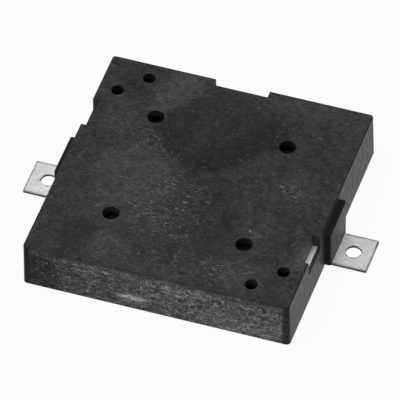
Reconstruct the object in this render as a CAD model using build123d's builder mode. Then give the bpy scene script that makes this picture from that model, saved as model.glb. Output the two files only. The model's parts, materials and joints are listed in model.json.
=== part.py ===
from build123d import *
import os
from math import sqrt

# A square surface-mount piezo sounder, in millimetres. It stands on its two tabs, and the case's foot is one
# strip thickness above the board. The origin is at the middle of that seating plane, +Z points up through the
# holes in the top face, and the two terminals lie along X. The part is the same after half a turn about Z,
# apart from the gate recess in the wall at +Y and the two leads inside.

# Case
case_side = 16.0            # square, measured at the foot
case_height = 3.0
case_draft = 1.0            # degrees that the outer walls lean in
wall = 0.75
roof = 0.5
corner_radius = 0.25
top_edge_radius = 0.08
cavity_corner_radius = 0.5

# Holes in the top face
sound_hole = 1.0
sound_hole_margin = 0.2     # from the hole to the seat of the sounding plate
vent_hole = 0.75
vent_margin = 0.075         # from the hole to the cavity wall
vent_step = 1.45            # how far the two vents of a corner are offset from its diagonal
hole_edge_radius = 0.03

# Gate recess in the top edge of the +Y wall
gate_width = 3.3
gate_depth = 0.6
gate_drop = 0.58
gate_stub = (1.0, 0.3, 0.06)
gate_stub_offset = 0.4

# Terminals, folded from one strip each
strip = 0.15
fold_radius = 0.15
tab_width = 2.5
tab_length = 2.05           # beyond the boss
tab_corner_radius = 0.08
tab_hole = 0.9
tab_hole_setback = 0.9      # from the boss to the middle of the hole
arm_inset = 0.24            # from the foot of the wall to the arm's outer edge
arm_width = 0.46
arm_tail = 0.3              # hidden in the wall past the window
pad_width = 1.6
pad_reach = 0.75            # into the cavity

# Boss over the upright part of a terminal, and the window beside it
boss_depth = 0.35
boss_drop = 0.5             # below the top face
boss_cheek = 0.2            # plastic on each side of the strip
boss_skin = 0.28            # plastic in front of the strip
boss_edge_radius = 0.1
window_start = 2.15
window_length = 2.15
window_depth = 0.5
pad_border = 0.15           # plastic round the pad inside the case

# Sounding plate
front_chamber = 0.5         # from the roof to the plate's seat
plate_clearance = 0.3       # from the plate's rim to the cavity wall
seat_land = 0.6
seat_root = 0.05            # how far the seat ring runs into the cavity walls
plate_bond_thickness = 0.05
plate_thickness = 0.1
ceramic_radius = 4.9
ceramic_thickness = 0.1
electrode_radius = 4.6
electrode_thickness = 0.02

# Cover plate
cover_thickness = 0.45
cover_lift = 0.05           # from the case's foot to the cover's lower face
cover_rebate = 0.2
cover_gap = 0.1
cover_corner_radius = 0.4

# Leads and solder
lead_diameter = 0.12
lead_bend_radius = 0.25
lead_sag = 0.4
dot_radius = 0.36
dot_height = 0.24
plate_dot_radius = 6.0      # distance of the dot from the plate's middle
electrode_dot_radius = 3.9

# Worked out from the sizes above
case_half = case_side / 2
cavity_half = case_half - wall
foot = strip
top = foot + case_height
roof_level = top - roof
seat_level = roof_level - front_chamber
plate_radius = cavity_half - plate_clearance
seat_inner_radius = plate_radius - seat_land
seat_outer_radius = cavity_half + seat_root
plate_top = seat_level - plate_bond_thickness
plate_under = plate_top - plate_thickness
ceramic_under = plate_under - ceramic_thickness
electrode_under = ceramic_under - electrode_thickness
boss_face = case_half + boss_depth
boss_half = tab_width / 2 + boss_cheek
boss_top = top - boss_drop
riser_outer = boss_face - boss_skin
riser_inner = riser_outer - strip
tab_tip = boss_face + tab_length
window_end = window_start + window_length
arm_outer = case_half - arm_inset
arm_inner = arm_outer - arm_width
arm_end = window_end + arm_tail
pad_inner = cavity_half - pad_reach
cover_seat_half = cavity_half + cover_rebate
cover_half = cover_seat_half - cover_gap
cover_under = foot + cover_lift
cover_top = cover_under + cover_thickness

os.makedirs("parts", exist_ok=True)


def write(piece, name):
    """Label a finished piece and write it under its own name."""
    piece.part.label = name
    export_step(piece.part, f"parts/{name}.step")


# Terminal: the side profile gives the tab, the two folds and the riser, and two flat shapes give the arm
# that runs along the wall to the window and the pad that reaches into the cavity.
arm_top = seat_level + strip

with BuildPart() as terminal_right:
    with BuildSketch(Plane.XZ):
        with BuildLine():
            Polyline(
                (tab_tip, 0),
                (riser_inner, 0),
                (riser_inner, seat_level),
                (arm_inner, seat_level),
                (arm_inner, arm_top),
                (riser_outer, arm_top),
                (riser_outer, strip),
                (tab_tip, strip),
                close=True,
            )
        make_face()
        corners = vertices()
        outside_of_folds = corners.filter_by_position(Axis.X, riser_inner, riser_inner).sort_by(Axis.Y)[:1]
        outside_of_folds += corners.filter_by_position(Axis.X, riser_outer, riser_outer).sort_by(Axis.Y)[-1:]
        inside_of_folds = corners.filter_by_position(Axis.X, riser_inner, riser_inner).sort_by(Axis.Y)[-1:]
        inside_of_folds += corners.filter_by_position(Axis.X, riser_outer, riser_outer).sort_by(Axis.Y)[:1]
        fillet(inside_of_folds, fold_radius)
        fillet(outside_of_folds, fold_radius + strip)
    extrude(amount=tab_width / 2, both=True)
    tip_edges = edges().filter_by(Axis.Z).group_by(Axis.X)[-1]
    fillet(tip_edges, tab_corner_radius)
    with Locations((boss_face + tab_hole_setback, 0, strip)):
        Hole(tab_hole / 2, depth=strip)
    with BuildSketch(Plane.XY.offset(seat_level)):
        with Locations((arm_inner, -arm_end)):
            Rectangle(arm_width, arm_end, align=(Align.MIN, Align.MIN))
        with Locations((pad_inner, -arm_end)):
            Rectangle(arm_outer - pad_inner, pad_width, align=(Align.MIN, Align.MIN))
    extrude(amount=strip)

with BuildPart() as terminal_left:
    add(terminal_right.part.rotate(Axis.Z, 180))


def block(x, y, z, mode=Mode.ADD):
    """Add or cut, on both sides, the box that lies between two x, two y and two z values at +X."""
    with PolarLocations(0, 2):
        with Locations(((x[0] + x[1]) / 2, (y[0] + y[1]) / 2, (z[0] + z[1]) / 2)):
            Box(x[1] - x[0], y[1] - y[0], z[1] - z[0], mode=mode)


# Housing: walls and roof in one moulding, open below.
sound_hole_offset = (seat_inner_radius - sound_hole / 2 - sound_hole_margin) / sqrt(2)
vent_far = cavity_half - vent_hole / 2 - vent_margin
vent_near = vent_far - vent_step

with BuildPart() as housing:
    with BuildSketch(Plane.XY.offset(foot)):
        RectangleRounded(case_side, case_side, corner_radius)
    extrude(amount=case_height, taper=case_draft)
    fillet(faces().sort_by(Axis.Z)[-1].edges(), top_edge_radius)

    # Bosses over the risers
    block((cavity_half, boss_face), (-boss_half, boss_half), (foot, boss_top))
    outer_faces = faces().sort_by(Axis.X)[:1]
    outer_faces += faces().sort_by(Axis.X)[-1:]
    above_foot = outer_faces.edges().filter_by(lambda edge: edge.center().Z > foot + boss_edge_radius)
    fillet(above_foot, boss_edge_radius)

    # Cavity, with the seat ring of the sounding plate standing from the roof
    with BuildSketch(Plane.XY.offset(foot)):
        RectangleRounded(2 * cavity_half, 2 * cavity_half, cavity_corner_radius)
    extrude(amount=roof_level - foot, mode=Mode.SUBTRACT)
    with BuildSketch(Plane.XY.offset(seat_level)):
        Circle(seat_outer_radius)
        Circle(seat_inner_radius, mode=Mode.SUBTRACT)
    extrude(amount=front_chamber)

    # Plastic that backs the terminals' pads, level with the seat
    block(
        (pad_inner - pad_border, cavity_half + seat_root),
        (-arm_end - pad_border, -window_start),
        (seat_level, roof_level),
    )

    # Rebate for the cover plate
    with BuildSketch(Plane.XY.offset(foot)):
        RectangleRounded(2 * cover_seat_half, 2 * cover_seat_half, cover_corner_radius)
    extrude(amount=cover_top - foot, mode=Mode.SUBTRACT)

    # Windows that bare the terminals' arms
    block(
        (case_half - window_depth, boss_face),
        (-window_end, -window_start),
        (seat_level, top),
        mode=Mode.SUBTRACT,
    )

    # Gate recess, with the stub that the broken gate leaves on its floor
    with Locations((0, case_half, top)):
        Box(gate_width, 2 * gate_depth, 2 * gate_drop, mode=Mode.SUBTRACT)
    with Locations((gate_stub_offset, case_half - gate_depth, top - gate_drop)):
        Box(*gate_stub, align=(Align.CENTER, Align.MIN, Align.MIN))

    # Four sound holes over the front chamber, and two vents in each of two opposite corners
    with BuildSketch(Plane.XY.offset(top)):
        with GridLocations(2 * sound_hole_offset, 2 * sound_hole_offset, 2, 2):
            Circle(sound_hole / 2)
        with PolarLocations(0, 2):
            with Locations((vent_far, -vent_near), (vent_near, -vent_far)):
                Circle(vent_hole / 2)
    extrude(amount=-roof, mode=Mode.SUBTRACT)
    hole_rims = faces().filter_by(GeomType.PLANE).sort_by(Axis.Z)[-1].inner_wires().edges()
    fillet(hole_rims, hole_edge_radius)

    # The strips are moulded in
    add(terminal_right.part, mode=Mode.SUBTRACT)
    add(terminal_left.part, mode=Mode.SUBTRACT)


# Sounding plate, its ceramic and the adhesive that holds its rim.
def disc(radius, top, thickness, hole_radius=0):
    """A round layer that hangs down from the given level."""
    with BuildPart() as layer:
        with BuildSketch(Plane.XY.offset(top)):
            Circle(radius)
            if hole_radius:
                Circle(hole_radius, mode=Mode.SUBTRACT)
        extrude(amount=-thickness)
    return layer


plate_bond = disc(plate_radius, seat_level, plate_bond_thickness, hole_radius=seat_inner_radius)
brass_plate = disc(plate_radius, plate_top, plate_thickness)
ceramic_disc = disc(ceramic_radius, plate_under, ceramic_thickness)
silver_electrode = disc(electrode_radius, ceramic_under, electrode_thickness)


# Cover plate and the adhesive line round it.
with BuildPart() as cover_plate:
    with BuildSketch(Plane.XY.offset(cover_under)):
        RectangleRounded(2 * cover_half, 2 * cover_half, cover_corner_radius - cover_gap)
    extrude(amount=cover_thickness)

with BuildPart() as cover_bond:
    with BuildSketch(Plane.XY.offset(cover_under)):
        RectangleRounded(2 * cover_seat_half, 2 * cover_seat_half, cover_corner_radius)
        RectangleRounded(2 * cover_half, 2 * cover_half, cover_corner_radius - cover_gap, mode=Mode.SUBTRACT)
    extrude(amount=cover_thickness)


# Leads: a bent wire that sags from one solder dot to the next, and a dome of solder round each end.
def bent_lead(start, end):
    """A wire between two points, with its two bends hanging below the lower one."""
    low = min(start.Z, end.Z) - lead_sag
    run = end - start
    bends = [start + run * share for share in (0.35, 0.65)]
    route = [start] + [Vector(bend.X, bend.Y, low) for bend in bends] + [end]
    with BuildPart() as lead:
        with BuildLine() as path:
            FilletPolyline(*route, radius=lead_bend_radius)
        with BuildSketch(Plane(origin=path.line @ 0, z_dir=path.line % 0)):
            Circle(lead_diameter / 2)
        sweep()
    return lead


def solder_dot(place, lead):
    """A cap of solder that hangs from the given point and closes round the lead's end."""
    ball_radius = (dot_radius**2 + dot_height**2) / (2 * dot_height)
    with BuildPart() as dot:
        with Locations(place + Vector(0, 0, ball_radius - dot_height)):
            Sphere(ball_radius)
        split(bisect_by=Plane(origin=place), keep=Keep.BOTTOM)
        add(lead.part, mode=Mode.SUBTRACT)
    return dot


pad_dot = Vector((pad_inner + cavity_half) / 2, -arm_end + pad_width / 2, seat_level)
inward = Vector(-pad_dot.X, -pad_dot.Y, 0).normalized()
plate_dot = Vector(0, 0, plate_under) - inward * plate_dot_radius
electrode_dot = Vector(0, 0, electrode_under) + inward * electrode_dot_radius
left_pad_dot = Vector(-pad_dot.X, -pad_dot.Y, seat_level)
into_dot = Vector(0, 0, -dot_height / 2)

lead_right = bent_lead(pad_dot + into_dot, plate_dot + into_dot)
lead_left = bent_lead(left_pad_dot + into_dot, electrode_dot + into_dot)
solder_pad_right = solder_dot(pad_dot, lead_right)
solder_plate = solder_dot(plate_dot, lead_right)
solder_pad_left = solder_dot(left_pad_dot, lead_left)
solder_electrode = solder_dot(electrode_dot, lead_left)


write(housing, "housing")
write(cover_plate, "cover_plate")
write(cover_bond, "cover_bond")
write(terminal_right, "terminal_right")
write(terminal_left, "terminal_left")
write(plate_bond, "plate_bond")
write(brass_plate, "brass_plate")
write(ceramic_disc, "ceramic_disc")
write(silver_electrode, "silver_electrode")
write(lead_right, "lead_right")
write(lead_left, "lead_left")
write(solder_pad_right, "solder_pad_right")
write(solder_plate, "solder_plate")
write(solder_pad_left, "solder_pad_left")
write(solder_electrode, "solder_electrode")
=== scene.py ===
"""Looks of a square surface-mount piezo sounder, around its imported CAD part."""

import json
import math

import bpy
from mathutils import Matrix, Vector


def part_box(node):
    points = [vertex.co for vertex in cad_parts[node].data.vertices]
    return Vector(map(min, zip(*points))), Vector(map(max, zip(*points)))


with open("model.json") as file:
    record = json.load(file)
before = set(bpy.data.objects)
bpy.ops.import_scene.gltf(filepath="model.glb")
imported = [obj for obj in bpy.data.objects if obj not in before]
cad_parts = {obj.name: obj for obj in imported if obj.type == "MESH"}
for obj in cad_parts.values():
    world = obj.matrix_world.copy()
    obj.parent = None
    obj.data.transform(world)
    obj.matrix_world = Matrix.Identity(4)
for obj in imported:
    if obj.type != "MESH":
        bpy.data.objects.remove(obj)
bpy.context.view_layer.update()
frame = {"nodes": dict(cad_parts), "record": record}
bpy.ops.object.select_all(action="DESELECT")

MM = 0.001
PER_MM = 1000.0

# ---------------------------------------------------------------- camera

CAMERA_TURN = math.radians(19.37)   # round the part, to the right of its front
CAMERA_RISE = math.radians(46.89)   # above the seating plane
CAMERA_ROLL = math.radians(-1.17)
CAMERA_DISTANCE = 422.4 * MM
CAMERA_AIM = 0.903 * MM             # how far above the middle of the case's foot it points
CAMERA_LENS = 661.0                 # focal length, in millimetres


def add_camera():
    """A long lens, aimed a little above the middle of the seating plane."""
    data = bpy.data.cameras.new("camera")
    data.lens = CAMERA_LENS
    camera = bpy.data.objects.new("camera", data)
    bpy.context.scene.collection.objects.link(camera)
    bpy.context.scene.camera = camera
    back = Vector((
        math.sin(CAMERA_TURN) * math.cos(CAMERA_RISE),
        -math.cos(CAMERA_TURN) * math.cos(CAMERA_RISE),
        math.sin(CAMERA_RISE),
    ))
    right = Vector((math.cos(CAMERA_TURN), math.sin(CAMERA_TURN), 0.0))
    up = back.cross(right)
    place = back * CAMERA_DISTANCE
    back = (place - up * CAMERA_AIM).normalized()
    up = back.cross(right)
    place.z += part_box("housing")[0].z
    turned = Matrix((right, up, back)).transposed().to_4x4()
    camera.matrix_world = Matrix.Translation(place) @ turned @ Matrix.Rotation(CAMERA_ROLL, 4, "Z")


add_camera()

# ---------------------------------------------------------------- node helpers

COLUMN = 1000.0                     # height in millimetres of an oval column, taller than the part
SWING = (0.3, 0.7)                  # noise patterns mostly stay between these
BLACK = (0.0, 0.0, 0.0, 1.0)
GREY_TINT = (1.0, 0.995, 1.05, 1.0)         # the case's grey is a little blue


class Finish:
    """One procedural material. Patterns are laid out in millimetres of the part's own frame."""

    def __init__(self, name):
        self.material = bpy.data.materials.new(name)
        self.material.use_nodes = True
        self.tree = self.material.node_tree
        self.surface = self.tree.nodes["Principled BSDF"]
        self.coordinates = self.add("ShaderNodeTexCoord")
        self.mm = self.stretch(self.coordinates.outputs["Object"], (PER_MM,) * 3)

    def add(self, kind, settings=None, **inputs):
        node = self.tree.nodes.new(kind)
        for key, value in (settings or {}).items():
            setattr(node, key, value)
        for key, value in inputs.items():
            self.plug(value, node.inputs[key.replace("_", " ")])
        return node

    def plug(self, value, socket):
        if isinstance(value, bpy.types.NodeSocket):
            self.tree.links.new(value, socket)
        else:
            socket.default_value = value

    def stretch(self, vector, scale):
        return self.add("ShaderNodeMapping", Vector=vector, Scale=scale).outputs["Vector"]

    def math(self, operation, *values):
        node = self.add("ShaderNodeMath", {"operation": operation})
        for value, socket in zip(values, node.inputs):
            self.plug(value, socket)
        return node.outputs[0]

    def mix(self, share, first, second):
        node = self.add("ShaderNodeMix", {"data_type": "FLOAT"})
        for value, place in zip((share, first, second), (0, 2, 3)):
            self.plug(value, node.inputs[place])
        return node.outputs[0]

    def length(self, vector):
        node = self.add("ShaderNodeVectorMath", {"operation": "LENGTH"})
        self.plug(vector, node.inputs[0])
        return node.outputs["Value"]

    def drift(self, vector, scale, reach):
        """The same place, moved about by up to half the reach, in millimetres."""
        push = self.add("ShaderNodeVectorMath", {"operation": "MULTIPLY_ADD"})
        self.plug(self.cloud(vector, scale, 4.0, 0.6).outputs["Color"], push.inputs[0])
        push.inputs[1].default_value = (reach,) * 3
        push.inputs[2].default_value = (-reach / 2,) * 3
        moved = self.add("ShaderNodeVectorMath", {"operation": "ADD"})
        self.plug(vector, moved.inputs[0])
        self.plug(push.outputs[0], moved.inputs[1])
        return moved.outputs[0]

    def cloud(self, vector, scale, detail, roughness, distortion=0.0):
        """A noise texture, whole."""
        return self.add(
            "ShaderNodeTexNoise",
            Vector=vector, Scale=scale, Detail=detail, Roughness=roughness, Distortion=distortion,
        )

    def noise(self, vector, scale, detail=2.0, roughness=0.5, distortion=0.0):
        """A noise pattern that mostly stays within SWING."""
        return self.cloud(vector, scale, detail, roughness, distortion).outputs["Fac"]

    def ease(self, value, low, high, start=0.0, end=1.0):
        """Rises smoothly from start to end as the value goes from low to high."""
        node = self.add("ShaderNodeMapRange", {"interpolation_type": "SMOOTHSTEP"})
        given = {"Value": value, "From Min": low, "From Max": high, "To Min": start, "To Max": end}
        for name, part in given.items():
            self.plug(part, node.inputs[name])
        return node.outputs["Result"]

    def swing(self, pattern, start=0.0, end=1.0):
        """Runs from start to end over the usual swing of a noise pattern."""
        return self.ease(pattern, *SWING, start, end)

    def vary(self, value, pattern, start, end):
        """The value, scaled from start to end by a noise pattern."""
        return self.math("MULTIPLY", value, self.swing(pattern, start, end))

    def tint(self, level, colour=GREY_TINT):
        """A colour as bright as the level."""
        return self.blend(level, BLACK, colour)

    def blend(self, share, first, second):
        node = self.add("ShaderNodeMix", {"data_type": "RGBA"})
        self.plug(share, node.inputs["Factor"])
        self.plug(first, node.inputs[6])
        self.plug(second, node.inputs[7])
        return node.outputs[2]

    def split(self, vector):
        return self.add("ShaderNodeSeparateXYZ", Vector=vector).outputs

    def join(self, x, y, z):
        return self.add("ShaderNodeCombineXYZ", X=x, Y=y, Z=z).outputs["Vector"]

    def lobe(self, vector, centre, radii, turn=0.0, soft=0.4):
        """One inside an oval and 0 outside it, with a soft rim. With two radii the oval is a tall column."""
        node = self.add(
            "ShaderNodeMapping",
            {"vector_type": "TEXTURE"},
            Vector=vector,
            Location=(*centre, 0.0)[:3],
            Rotation=(0.0, 0.0, math.radians(turn)),
            Scale=(*radii, COLUMN)[:3],
        )
        return self.ease(self.length(node.outputs["Vector"]), 1.0 + soft, 1.0 - soft)

    def inside(self, vector, bearing, distance):
        """How far inside a straight side the place is, in millimetres. The bearing, in degrees, faces inwards."""
        inwards = math.radians(bearing)
        along = self.add("ShaderNodeVectorMath", {"operation": "DOT_PRODUCT"})
        self.plug(vector, along.inputs[0])
        along.inputs[1].default_value = (math.cos(inwards), math.sin(inwards), 0.0)
        return self.math("SUBTRACT", along.outputs["Value"], distance)

    def patches(self, vector, ovals):
        """The strongest of some ovals, each with its centre, radii, turn, softness and strength."""
        return self.largest([self.math("MULTIPLY", self.lobe(vector, *oval[:4]), oval[4]) for oval in ovals])

    def largest(self, values):
        total = values[0]
        for value in values[1:]:
            total = self.math("MAXIMUM", total, value)
        return total

    def least(self, values):
        total = values[0]
        for value in values[1:]:
            total = self.math("MINIMUM", total, value)
        return total

    def dim(self, value, mask, share):
        """The value, less the given share of it where the mask is one."""
        return self.math("MULTIPLY", value, self.math("MULTIPLY_ADD", mask, -share, 1.0))

    def relief(self, height, depth_mm, strength=1.0):
        bump = self.add("ShaderNodeBump", Height=height, Distance=depth_mm * MM, Strength=strength)
        self.plug(bump.outputs["Normal"], self.surface.inputs["Normal"])

    def set(self, **inputs):
        for key, value in inputs.items():
            self.plug(value, self.surface.inputs[key.replace("_", " ")])


# ---------------------------------------------------------------- case

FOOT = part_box("housing")[0].z * PER_MM      # the case's foot, above the board
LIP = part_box("housing")[1].z * PER_MM       # its top face
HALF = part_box("housing")[1].y * PER_MM      # from the middle to the foot of the front or back wall
CAVITY = 7.3                                # the case's outside lies further out than this
GATE = (0.4, 7.6)                           # where the melt entered, at the back wall
BOSS_REACH = 1.45                           # from the middle of an end wall to its boss's ends
BOSS_TOP = 2.65                             # above the board

# How much light the plain plastic gives back, before the patterns change it
TOP_LEVEL = 0.0278
WALL_LEVEL = 0.045                          # front and back
END_LEVEL = 0.058                           # the two walls with the bosses, set brighter than the top as painted light from their side
FLECK_LEVEL = 0.25
STREAK_LEVEL = 0.26                         # pale dashes of the front and back walls
GLARE_LEVEL = 0.42                          # a painted highlight, the brightest streak of the front wall

# How much more or less light the zones of the top face give back
PALE_GAIN = 0.62
DULL_LOSS = 0.30
FRESH_LOSS = 0.28
DEEPEST_LOSS = 0.24

# Straight sides of the dark fan of fresh melt: bearing of the inside, and distance from the middle
FAN = (
    (135, 0.0),
    (45, -0.62),
    (90, 0.65),
    (0, -4.0),
    (-35, -5.5),
    (212, -5.9),
)

# Ovals on the top face: centre, radii, turn, softness and strength
FAN_PATCHES = (
    ((-2.4, 2.3), (0.5, 1.6), 38, 0.6, 0.6),
)
DULL_PATCHES = (
    ((-5.3, -6.2), (1.1, 1.6), 0, 0.3, 1.0),
    ((1.9, -2.6), (1.2, 2.6), 10, 0.5, 0.75),
    ((-5.9, 6.0), (0.9, 1.1), 0, 0.5, 0.7),
    ((6.5, 3.6), (0.8, 2.0), 10, 0.5, 0.35),
    ((-7.4, -0.4), (0.6, 1.6), 0, 0.6, 0.3),
    ((0.1, 0.3), (0.9, 1.0), 20, 0.6, 0.5),
)
PALE_PATCHES = (
    ((-3.7, -0.9), (2.5, 2.5), 0, 0.25, 0.85),
    ((-3.6, -3.6), (3.6, 1.6), 0, 0.5, 0.45),
    ((-3.4, 6.4), (1.0, 2.0), -28, 0.5, 1.1),
    ((-5.9, 3.2), (1.1, 1.6), 0, 0.6, 0.5),
    ((5.6, 1.0), (1.0, 1.3), 0, 0.7, 0.5),
    ((-3.4, -6.3), (1.3, 1.0), 0, 0.5, 0.8),
    ((-1.0, -7.2), (3.6, 0.6), 0, 0.6, 0.5),
    ((4.3, -6.3), (1.4, 1.1), 0, 0.6, 0.75),
    ((4.4, -2.7), (0.8, 1.1), 0, 0.6, 0.5),
    ((4.4, 7.3), (2.8, 0.7), 0, 0.6, 0.6),
    ((7.3, 6.0), (0.5, 1.8), -12, 0.6, 0.4),
    ((7.4, -3.9), (0.4, 1.1), 0, 0.6, 1.0),
)
FLECK_PATCHES = (
    ((-0.9, -2.6), (2.4, 2.2), 0, 0.5, 0.8),
    ((5.2, 0.9), (0.7, 0.7), 0, 0.5, 1.0),
    ((4.3, -3.1), (0.7, 0.4), 0, 0.5, 1.1),
    ((-3.6, 2.2), (2.2, 0.7), -20, 0.5, 0.7),
    ((4.4, -6.0), (1.1, 0.6), 0, 0.6, 0.8),
    ((2.0, -6.6), (3.4, 0.8), 0, 0.6, 0.4),
)

# Solid ovals of painted light on the front wall, in the same order. The glare, a painted highlight, has no
# strength of its own.
PAINTED_LIGHT_OVALS = (
    ((-1.6, -8.0, FOOT + 0.85), (1.1, 2.0, 0.40), 0, 0.5, 1.0),
    ((4.8, -8.0, FOOT + 0.7), (2.6, 2.0, 0.7), 0, 0.7, 0.55),
    ((-3.7, -8.0, FOOT + 2.5), (1.0, 2.0, 0.2), 0, 0.7, 0.7),
    ((1.4, -8.0, FOOT + 2.3), (2.0, 2.0, 0.5), 0, 0.7, 0.5),
    ((5.6, -8.0, FOOT + 0.7), (1.0, 2.0, 0.3), 0, 0.6, 1.0),
)
PAINTED_GLARE = ((-1.4, -8.0, FOOT + 0.85), (0.8, 2.0, 0.15), 0, 0.6)


class CaseFinish(Finish):
    """The case's plastic: where each of its faces lies, and the patterns that they share."""

    def __init__(self, name):
        super().__init__(name)
        self.drifted = self.drift(self.mm, 0.9, 0.9)
        self.ruffled = self.drift(self.mm, 1.9, 0.45)
        self.edged = self.drift(self.drifted, 3.2, 0.5)

        self.x, self.y, self.z = self.split(self.mm)
        self.out_x = self.math("ABSOLUTE", self.x)
        self.out_y = self.math("ABSOLUTE", self.y)
        normal = self.split(self.coordinates.outputs["Normal"])
        self.nx, self.ny, self.nz = (self.math("ABSOLUTE", part) for part in normal)

        self.mottle = self.noise(self.mm, 2.4, 4.0, 0.6)
        self.grain = self.noise(self.mm, 9.0, 3.0, 0.65)
        self.fibres = self.noise(self.stretch(self.ruffled, (3.4, 10.0, 10.0)), 1.0, 3.0, 0.65)
        self.dashes = self.noise(self.stretch(self.ruffled, (2.6, 7.0, 7.0)), 1.0, 2.0, 0.6)
        self.scuffs = self.noise(self.stretch(self.ruffled, (4.6, 4.6, 8.0)), 1.0, 3.0, 0.6)
        self.combed = self.combing()
        self.flecks = self.flecking()
        self.proud = self.ease(self.out_x, HALF - 0.02, HALF + 0.04)

    def beyond(self, out):
        """One on the outside of the case, along one direction."""
        return self.ease(out, CAVITY, CAVITY + 0.05)

    def combing(self):
        """Fine lines that run away from the gate."""
        across = self.math("SUBTRACT", self.x, GATE[0])
        away = self.math("SUBTRACT", GATE[1], self.y)
        bearing = self.math("ARCTAN2", across, away)
        reach = self.length(self.join(across, away, 0.0))
        rays = self.join(
            self.math("MULTIPLY", bearing, 30.0),
            self.math("MULTIPLY", reach, 1.5),
            self.math("MULTIPLY", self.z, 4.0),
        )
        return self.noise(rays, 1.0, 3.0, 0.6)

    def flecking(self):
        """Pale dashes and specks, which gather in clusters."""
        specks = self.noise(self.mm, 6.5, 1.0, 0.5)
        gather = self.ease(self.noise(self.mm, 1.1, 2.0, 0.5), 0.45, 0.65)
        marks = self.largest([self.ease(self.dashes, 0.60, 0.72), self.ease(specks, 0.68, 0.76)])
        clusters = self.patches(self.drifted, FLECK_PATCHES)
        crowd = self.math("MULTIPLY_ADD", clusters, 0.75, self.math("MULTIPLY", gather, 0.25))
        return self.math("MULTIPLY", marks, self.math("ADD", crowd, 0.05))

    def top_level(self):
        """The top face: zones left by the melt, with fibres, combing and flecks."""
        sides = [self.inside(self.edged, *side) for side in FAN]
        fresh = self.ease(self.least(sides), -0.2, 0.35)
        middle = self.largest([self.ease(sides[0], 2.8, 1.0), self.patches(self.edged, FAN_PATCHES)])
        deepest = self.math("MULTIPLY", fresh, middle)
        fresh = self.math("MULTIPLY", fresh, self.ease(self.y, 7.2, 5.0, 0.3, 1.0))
        zone = self.math("MULTIPLY_ADD", self.patches(self.edged, PALE_PATCHES), PALE_GAIN, 1.0)
        zone = self.math("MULTIPLY_ADD", self.patches(self.edged, DULL_PATCHES), -DULL_LOSS, zone)
        zone = self.math("MULTIPLY_ADD", fresh, -FRESH_LOSS, zone)
        zone = self.math("MULTIPLY_ADD", deepest, -DEEPEST_LOSS, zone)
        top = self.math("MULTIPLY", zone, TOP_LEVEL)
        top = self.vary(top, self.mottle, 0.82, 1.18)
        top = self.vary(top, self.combed, 0.84, 1.18)
        top = self.vary(top, self.fibres, 0.56, 1.5)
        return self.mix(self.math("MULTIPLY", self.flecks, 0.9), top, FLECK_LEVEL)

    def wall_level(self):
        """The front and back walls: rougher and paler, with scuffs and streaks, ovals of painted light and one
        glaring streak, a painted highlight.
        """
        swept = self.noise(self.stretch(self.drifted, (0.5, 1.0, 2.0)), 1.5, 5.0, 0.7, 0.8)
        wall = self.math("MULTIPLY", self.ease(swept, 0.34, 0.68, 0.6, 1.7), WALL_LEVEL)
        wall = self.vary(wall, self.mottle, 0.8, 1.2)
        wall = self.vary(wall, self.scuffs, 0.45, 1.7)
        wall = self.vary(wall, self.grain, 0.5, 1.65)
        wall = self.math("MULTIPLY", wall, self.ease(self.x, -6.5, 3.0, 0.84, 1.2))
        # painted light: brighter ovals on the front wall
        lit = self.patches(self.ruffled, PAINTED_LIGHT_OVALS)
        wall = self.math("MULTIPLY", wall, self.math("MULTIPLY_ADD", lit, 0.7, 1.0))
        left_end = self.ease(self.x, -5.2, -6.8)
        smooth = self.math("MULTIPLY", left_end, self.ease(self.z, FOOT + 2.9, FOOT + 2.4))
        wall = self.dim(wall, smooth, 0.6)
        rightwards = self.ease(self.x, -7.0, -4.0, 0.3, 0.9)
        streaks = self.math("MULTIPLY", self.ease(self.dashes, 0.58, 0.70), rightwards)
        wall = self.mix(streaks, wall, STREAK_LEVEL)
        # painted highlight: one glaring streak, broken up by the fibres
        broken = self.ease(self.fibres, 0.35, 0.6, 0.3, 1.0)
        glare = self.math("MULTIPLY", self.lobe(self.ruffled, *PAINTED_GLARE), broken)
        return self.mix(glare, wall, GLARE_LEVEL)

    def end_level(self):
        """The two walls with the bosses, with painted shade on the wall in front of each boss, above each boss,
        and on each boss's outer face towards its top and front end.
        """
        end = self.math("MULTIPLY", self.swing(self.mottle, 0.68, 1.32), END_LEVEL)
        end = self.vary(end, self.grain, 0.72, 1.28)
        # painted shade on the wall in front of each boss and above its top
        from_boss = self.math("SUBTRACT", -BOSS_REACH, self.y)
        leaning = self.math("MULTIPLY_ADD", self.z, -0.25, from_boss)
        beside = self.math("MULTIPLY", self.ease(leaning, 0.5, -0.5), self.ease(from_boss, -0.1, 0.05))
        over = self.ease(self.z, BOSS_TOP - 0.1, BOSS_TOP)
        above = self.math("MULTIPLY", self.ease(self.out_y, BOSS_REACH + 0.1, BOSS_REACH), over)
        end = self.dim(end, self.math("MAXIMUM", beside, above), 0.7)
        # painted shade on each boss's outer face, deeper towards its top and front end
        slanted = self.math("MULTIPLY_ADD", self.z, -0.6, self.math("MULTIPLY", self.y, 0.5))
        shade = self.ease(slanted, -0.5, -2.0)
        return self.dim(end, self.math("MULTIPLY", self.proud, shade), 0.5)

    def rounding(self, outside):
        """Painted shade on the rounded edges, and a band of painted shade beside the upright ones. Weaker along
        the front and back of the top.
        """
        flattest = self.largest([self.nx, self.ny, self.nz])
        rounded = self.math("MULTIPLY", self.ease(flattest, 0.985, 0.93), outside)
        along_front = self.math("MULTIPLY", self.ease(self.nx, 0.4, 0.2), self.ease(self.nz, 0.2, 0.4))
        rounded = self.dim(rounded, along_front, 0.7)
        corner = self.ease(self.least([self.out_x, self.out_y]), HALF - 0.60, HALF - 0.28)
        # painted shade in a band beside the upright edges of the walls
        skin = self.math("MULTIPLY", corner, self.ease(self.nz, 0.7, 0.4))
        return self.math("MAXIMUM", rounded, skin)


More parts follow.
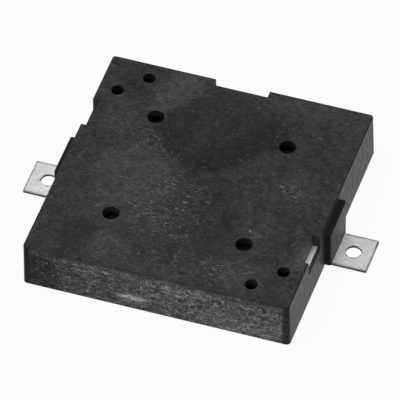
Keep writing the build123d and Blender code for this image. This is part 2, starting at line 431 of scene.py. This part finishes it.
def case_plastic():
    """Black liquid-crystal polymer: a dark fan at the gate, cloudy flow zones, fibres and pale flecks."""
    f = CaseFinish("case_plastic")
    outside = f.beyond(f.math("MAXIMUM", f.out_x, f.out_y))
    walls = f.math("MULTIPLY", f.ease(f.ny, 0.6, 0.95), f.beyond(f.out_y))
    ends = f.math("MULTIPLY", f.ease(f.nx, 0.6, 0.95), f.beyond(f.out_x))
    # the walls of the holes, which get painted shade below
    bore = f.math("MULTIPLY", f.ease(f.nz, 0.6, 0.3), f.math("SUBTRACT", 1.0, outside))
    # the bosses' top and end faces, which get painted shade below
    boss = f.math("MULTIPLY", f.proud, f.ease(f.nx, 0.9, 0.5))
    ragged = f.ease(f.math("MULTIPLY_ADD", f.scuffs, 0.8, f.z), LIP + 0.05, LIP + 0.35)
    rounded = f.rounding(outside)

    level = f.mix(f.math("MULTIPLY", walls, f.math("SUBTRACT", 1.0, ragged)), f.top_level(), f.wall_level())
    level = f.mix(ends, level, f.end_level())
    # painted shade on the rounded edges and beside the upright ones
    level = f.dim(level, rounded, 0.85)
    # painted shade on the bosses' top and end faces
    level = f.dim(level, boss, 0.75)
    # painted shade inside the holes
    level = f.dim(level, bore, 0.5)
    f.set(Base_Color=f.tint(level), Specular_IOR_Level=0.10)

    roughness = f.swing(f.math("MULTIPLY_ADD", f.flecks, -0.2, f.mottle), 0.62, 0.5)
    roughness = f.mix(ends, roughness, f.swing(f.mottle, 0.50, 0.42))
    f.set(Roughness=f.mix(f.math("MAXIMUM", bore, rounded), roughness, 0.4))
    height = f.math("MULTIPLY_ADD", f.fibres, 0.5, f.math("MULTIPLY", f.combed, 0.4))
    f.relief(f.math("MULTIPLY_ADD", f.flecks, 0.4, height), 0.02, 0.5)
    return f.material


# ---------------------------------------------------------------- the other materials

WEAVE_RATE = 2 * math.pi / 0.5              # radians per millimetre: a thread of the board every 0.5 mm


def cover_board():
    """Black glass-fibre board: a faint weave under a satin skin, with a few fine scratches."""
    f = Finish("cover_board")
    x, y, _ = f.split(f.mm)
    warp = f.math("SINE", f.math("MULTIPLY", x, WEAVE_RATE))
    weft = f.math("SINE", f.math("MULTIPLY", y, WEAVE_RATE))
    weave = f.math("MULTIPLY_ADD", f.math("MULTIPLY", warp, weft), 0.5, 0.5)
    grain = f.noise(f.mm, 9.0, 4.0, 0.6)
    cloud = f.noise(f.mm, 0.8, 3.0, 0.55)
    scratched = f.noise(f.stretch(f.drift(f.mm, 0.6, 1.0), (0.5, 9.0, 1.0)), 1.6, 2.0, 0.5)
    scratches = f.ease(scratched, 0.68, 0.74)
    level = f.math("MULTIPLY", f.swing(cloud, 0.020, 0.032), f.ease(weave, 0.0, 1.0, 0.85, 1.18))
    level = f.vary(level, grain, 0.8, 1.2)
    level = f.mix(f.math("MULTIPLY", scratches, 0.5), level, 0.06)
    f.set(Base_Color=f.tint(level, (1.0, 1.0, 1.03, 1.0)), Specular_IOR_Level=0.3)
    f.set(Roughness=f.swing(grain, 0.5, 0.66))
    f.relief(f.math("MULTIPLY_ADD", weave, 0.6, f.math("MULTIPLY", grain, 0.5)), 0.010, 0.6)
    return f.material


def cover_adhesive():
    """Dark epoxy, glossy and a little uneven."""
    f = Finish("cover_adhesive")
    wave = f.noise(f.mm, 1.8, 3.0, 0.6)
    f.set(Base_Color=f.blend(wave, (0.014, 0.013, 0.012, 1.0), (0.032, 0.028, 0.024, 1.0)))
    f.set(Roughness=f.swing(wave, 0.16, 0.3))
    f.relief(wave, 0.03, 0.6)
    return f.material


TAB_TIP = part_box("terminal_right")[1].x * PER_MM
TAB_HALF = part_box("terminal_right")[1].y * PER_MM
TAB_HOLE_PLACE = TAB_TIP - 1.15             # its middle, from the middle of the part
TAB_HOLE_RADIUS = 0.45


def tinned_strip():
    """Matt tin on stamped strip: rolling lines, pits and dull patches; painted shade on the sheared sides and
    along the tab's edges, and painted light near the case and inside it.
    """
    f = Finish("tinned_strip")
    rolled = f.noise(f.stretch(f.mm, (0.9, 12.0, 3.0)), 1.4, 3.0, 0.6)
    patches = f.noise(f.mm, 2.2, 4.0, 0.65, 0.8)
    pits = f.ease(f.noise(f.mm, 7.0, 3.0, 0.65), 0.60, 0.74)
    chips = f.noise(f.mm, 3.6, 3.0, 0.6)
    tone = f.math("MULTIPLY_ADD", patches, 0.7, f.math("MULTIPLY", rolled, 0.3))
    x, y, _ = f.split(f.mm)
    out_x, out_y = f.math("ABSOLUTE", x), f.math("ABSOLUTE", y)
    nz = f.math("ABSOLUTE", f.split(f.coordinates.outputs["Normal"])[2])
    tab = f.ease(out_x, HALF, HALF + 0.3)
    # painted shade on the tab's sheared side faces
    painted_side_shade = f.math("MULTIPLY", f.ease(nz, 0.6, 0.3), tab)
    from_hole = f.length(f.join(f.math("SUBTRACT", out_x, TAB_HOLE_PLACE), y, 0.0))
    nibbled = f.math("MULTIPLY", f.math("SUBTRACT", chips, 0.5), 0.3)
    # painted shade along the tab's tip, its long edges and the rim of its hole, broken up by chips
    painted_rim_shade = f.largest([
        f.ease(out_x, TAB_TIP - 0.12, TAB_TIP - 0.05),
        f.ease(f.math("ADD", out_y, nibbled), TAB_HALF - 0.14, TAB_HALF - 0.04),
        f.ease(f.math("ADD", from_hole, nibbled), TAB_HOLE_RADIUS + 0.08, TAB_HOLE_RADIUS),
    ])
    painted_rim_shade = f.math("MULTIPLY", painted_rim_shade, f.math("MULTIPLY", tab, f.ease(chips, 0.3, 0.6, 1.0, 0.5)))
    # painted light: the tab is brighter near the case and darker towards its tip
    outwards = f.ease(out_x, HALF + 0.35, TAB_TIP, 1.12, 0.86)
    level = f.math("MULTIPLY", f.ease(tone, 0.36, 0.66, 0.72, 0.88), outwards)
    level = f.dim(level, pits, 0.3)
    level = f.dim(level, painted_rim_shade, 0.88)
    level = f.dim(level, painted_side_shade, 0.85)
    # the strip inside the case: brighter there as a painted highlight, and also more metallic and smoother
    within_case = f.math("SUBTRACT", 1.0, f.ease(out_x, HALF - 0.2, HALF))
    level = f.mix(within_case, level, f.ease(tone, 0.36, 0.66, 0.94, 1.0))
    f.set(Base_Color=f.tint(level, (0.99, 1.0, 1.01, 1.0)))
    f.set(Metallic=f.mix(within_case, f.swing(tone, 0.25, 0.35), 0.6))
    f.set(Roughness=f.mix(within_case, f.swing(tone, 0.6, 0.45), 0.5))
    height = f.math("MULTIPLY_ADD", pits, -0.6, f.math("MULTIPLY", rolled, 0.4))
    f.relief(f.math("MULTIPLY_ADD", patches, 0.6, height), 0.015, 0.5)
    return f.material


def silicone():
    """Soft black adhesive, satin and a little wavy."""
    f = Finish("silicone")
    wave = f.noise(f.mm, 1.4, 3.0, 0.6)
    black = f.blend(wave, (0.016, 0.016, 0.017, 1.0), (0.030, 0.030, 0.031, 1.0))
    f.set(Base_Color=black, Specular_IOR_Level=0.2)
    f.set(Roughness=f.swing(wave, 0.42, 0.56))
    f.relief(wave, 0.03, 0.5)
    return f.material


def plate_brass():
    """Rolled brass, coloured near-black as painted shade so that it doesn't show through the sound holes, with
    faint rolling lines.
    """
    f = Finish("plate_brass")
    rolled = f.noise(f.stretch(f.mm, (0.4, 18.0, 4.0)), 1.5, 3.0, 0.6)
    worn = f.noise(f.mm, 0.7, 4.0, 0.6)
    black = f.blend(rolled, (0.020, 0.018, 0.017, 1.0), (0.034, 0.030, 0.027, 1.0))
    f.set(Base_Color=f.blend(f.ease(worn, 0.55, 0.75), black, (0.060, 0.048, 0.032, 1.0)))
    f.set(Roughness=f.swing(worn, 0.6, 0.72), Specular_IOR_Level=0.2)
    f.relief(rolled, 0.006, 0.4)
    return f.material


def piezo_ceramic():
    """Fired ceramic, pale buff and matt, with a fine grain."""
    f = Finish("piezo_ceramic")
    grain = f.noise(f.mm, 11.0, 3.0, 0.6)
    cloud = f.noise(f.mm, 0.9, 3.0, 0.5)
    f.set(Base_Color=f.blend(cloud, (0.48, 0.40, 0.30, 1.0), (0.62, 0.54, 0.42, 1.0)))
    f.set(Roughness=f.swing(grain, 0.6, 0.78))
    f.relief(grain, 0.008, 0.5)
    return f.material


def fired_silver():
    """Screen-printed silver, matt, with the mesh of the screen faintly left in it."""
    f = Finish("fired_silver")
    mesh = f.add("ShaderNodeTexVoronoi", {"feature": "F1"}, Vector=f.mm, Scale=8.0, Randomness=0.35)
    cloud = f.noise(f.mm, 1.1, 4.0, 0.6)
    silver = f.blend(f.swing(cloud), (0.62, 0.61, 0.57, 1.0), (0.76, 0.75, 0.72, 1.0))
    f.set(Base_Color=silver, Metallic=1.0)
    f.set(Roughness=f.swing(cloud, 0.55, 0.42))
    f.relief(mesh.outputs["Distance"], 0.006, 0.4)
    return f.material


def copper_wire():
    """Copper under enamel, coloured dark as painted shade so that it doesn't glint through the sound holes."""
    f = Finish("copper_wire")
    wave = f.noise(f.mm, 3.0, 3.0, 0.6)
    f.set(Base_Color=f.blend(wave, (0.060, 0.024, 0.014, 1.0), (0.110, 0.042, 0.022, 1.0)))
    f.set(Roughness=f.swing(wave, 0.5, 0.62), Specular_IOR_Level=0.3)
    return f.material


def solder():
    """Bright solder with a frosty skin."""
    f = Finish("solder")
    skin = f.noise(f.mm, 7.0, 4.0, 0.65)
    bright = f.blend(f.swing(skin), (0.52, 0.52, 0.53, 1.0), (0.70, 0.70, 0.71, 1.0))
    f.set(Base_Color=bright, Metallic=1.0)
    f.set(Roughness=f.swing(skin, 0.18, 0.38))
    f.relief(skin, 0.01, 0.5)
    return f.material


FINISHES = {
    "case_plastic": case_plastic(),
    "cover_board": cover_board(),
    "cover_adhesive": cover_adhesive(),
    "tinned_strip": tinned_strip(),
    "silicone": silicone(),
    "plate_brass": plate_brass(),
    "piezo_ceramic": piezo_ceramic(),
    "fired_silver": fired_silver(),
    "copper_wire": copper_wire(),
    "solder": solder(),
}

for subpart in frame["record"]["subparts"]:
    node = frame["nodes"][subpart["node"]]
    finish = FINISHES[subpart["material_slot"]]
    for held in node.material_slots:
        held.material = finish

# ---------------------------------------------------------------- floor and light

FLOOR_SIZE = 3.0
FLOOR_GLOW = 0.94                   # share of the floor's white that shadows don't dim
WORLD_LIGHT = 0.62                  # strength of the light from all round
WORLD_SEEN = 1.0                    # how bright the surroundings look


def backdrop_floor():
    """Pale floor that looks white, keeps a soft shadow, and doesn't show from below."""
    f = Finish("floor")
    f.tree.nodes.remove(f.surface)
    path = f.add("ShaderNodeLightPath").outputs
    seen = f.largest([path["Is Camera Ray"], path["Is Glossy Ray"], path["Is Transmission Ray"]])
    lit = f.add("ShaderNodeBsdfDiffuse", Color=(0.9, 0.9, 0.9, 1.0)).outputs["BSDF"]
    glow = f.add("ShaderNodeEmission", Color=(1.0, 1.0, 1.0, 1.0), Strength=1.0).outputs["Emission"]
    clear = f.add("ShaderNodeBsdfTransparent").outputs["BSDF"]
    shown = f.add("ShaderNodeMixShader", Fac=f.math("MULTIPLY", seen, FLOOR_GLOW))
    f.plug(lit, shown.inputs[1])
    f.plug(glow, shown.inputs[2])
    below = f.add("ShaderNodeNewGeometry").outputs["Backfacing"]
    passed = f.math("GREATER_THAN", path["Transparent Depth"], 0.5)
    sided = f.add("ShaderNodeMixShader", Fac=f.math("MAXIMUM", below, passed))
    f.plug(shown.outputs[0], sided.inputs[1])
    f.plug(clear, sided.inputs[2])
    f.plug(sided.outputs[0], f.tree.nodes["Material Output"].inputs["Surface"])
    bpy.ops.mesh.primitive_plane_add(size=FLOOR_SIZE, location=(0.0, 0.0, 0.0))
    floor = bpy.context.object
    floor.name = "floor"
    floor.data.materials.append(f.material)
    bpy.ops.object.select_all(action="DESELECT")


backdrop_floor()


def studio_world():
    """Soft grey light from all round, seen as white."""
    world = bpy.data.worlds.new("studio")
    world.use_nodes = True
    bpy.context.scene.world = world
    tree = world.node_tree
    back = tree.nodes["Background"]
    path = tree.nodes.new("ShaderNodeLightPath")
    seen = path.outputs["Is Camera Ray"]
    for ray in ("Is Glossy Ray", "Is Transmission Ray"):
        either = tree.nodes.new("ShaderNodeMath")
        either.operation = "MAXIMUM"
        tree.links.new(seen, either.inputs[0])
        tree.links.new(path.outputs[ray], either.inputs[1])
        seen = either.outputs[0]
    strength = tree.nodes.new("ShaderNodeMapRange")
    tree.links.new(seen, strength.inputs["Value"])
    strength.inputs["To Min"].default_value = WORLD_LIGHT
    strength.inputs["To Max"].default_value = WORLD_SEEN
    tree.links.new(strength.outputs["Result"], back.inputs["Strength"])
    back.inputs["Color"].default_value = (1.0, 1.0, 1.0, 1.0)


studio_world()


def softbox(name, place, size, power):
    """A square lamp that looks at the middle of the part."""
    data = bpy.data.lights.new(name, "AREA")
    data.shape = "SQUARE"
    data.size = size
    data.energy = power
    lamp = bpy.data.objects.new(name, data)
    bpy.context.scene.collection.objects.link(lamp)
    lamp.location = place
    lamp.rotation_mode = "QUATERNION"
    lamp.rotation_quaternion = Vector(place).to_track_quat("Z", "Y")
    lamp.visible_camera = False


softbox("softbox_overhead", (-0.12, -0.14, 0.40), 0.30, 0.62)
softbox("softbox_left", (-0.40, -0.20, 0.25), 0.25, 0.20)

scene = bpy.context.scene
scene.view_settings.view_transform = "Standard"
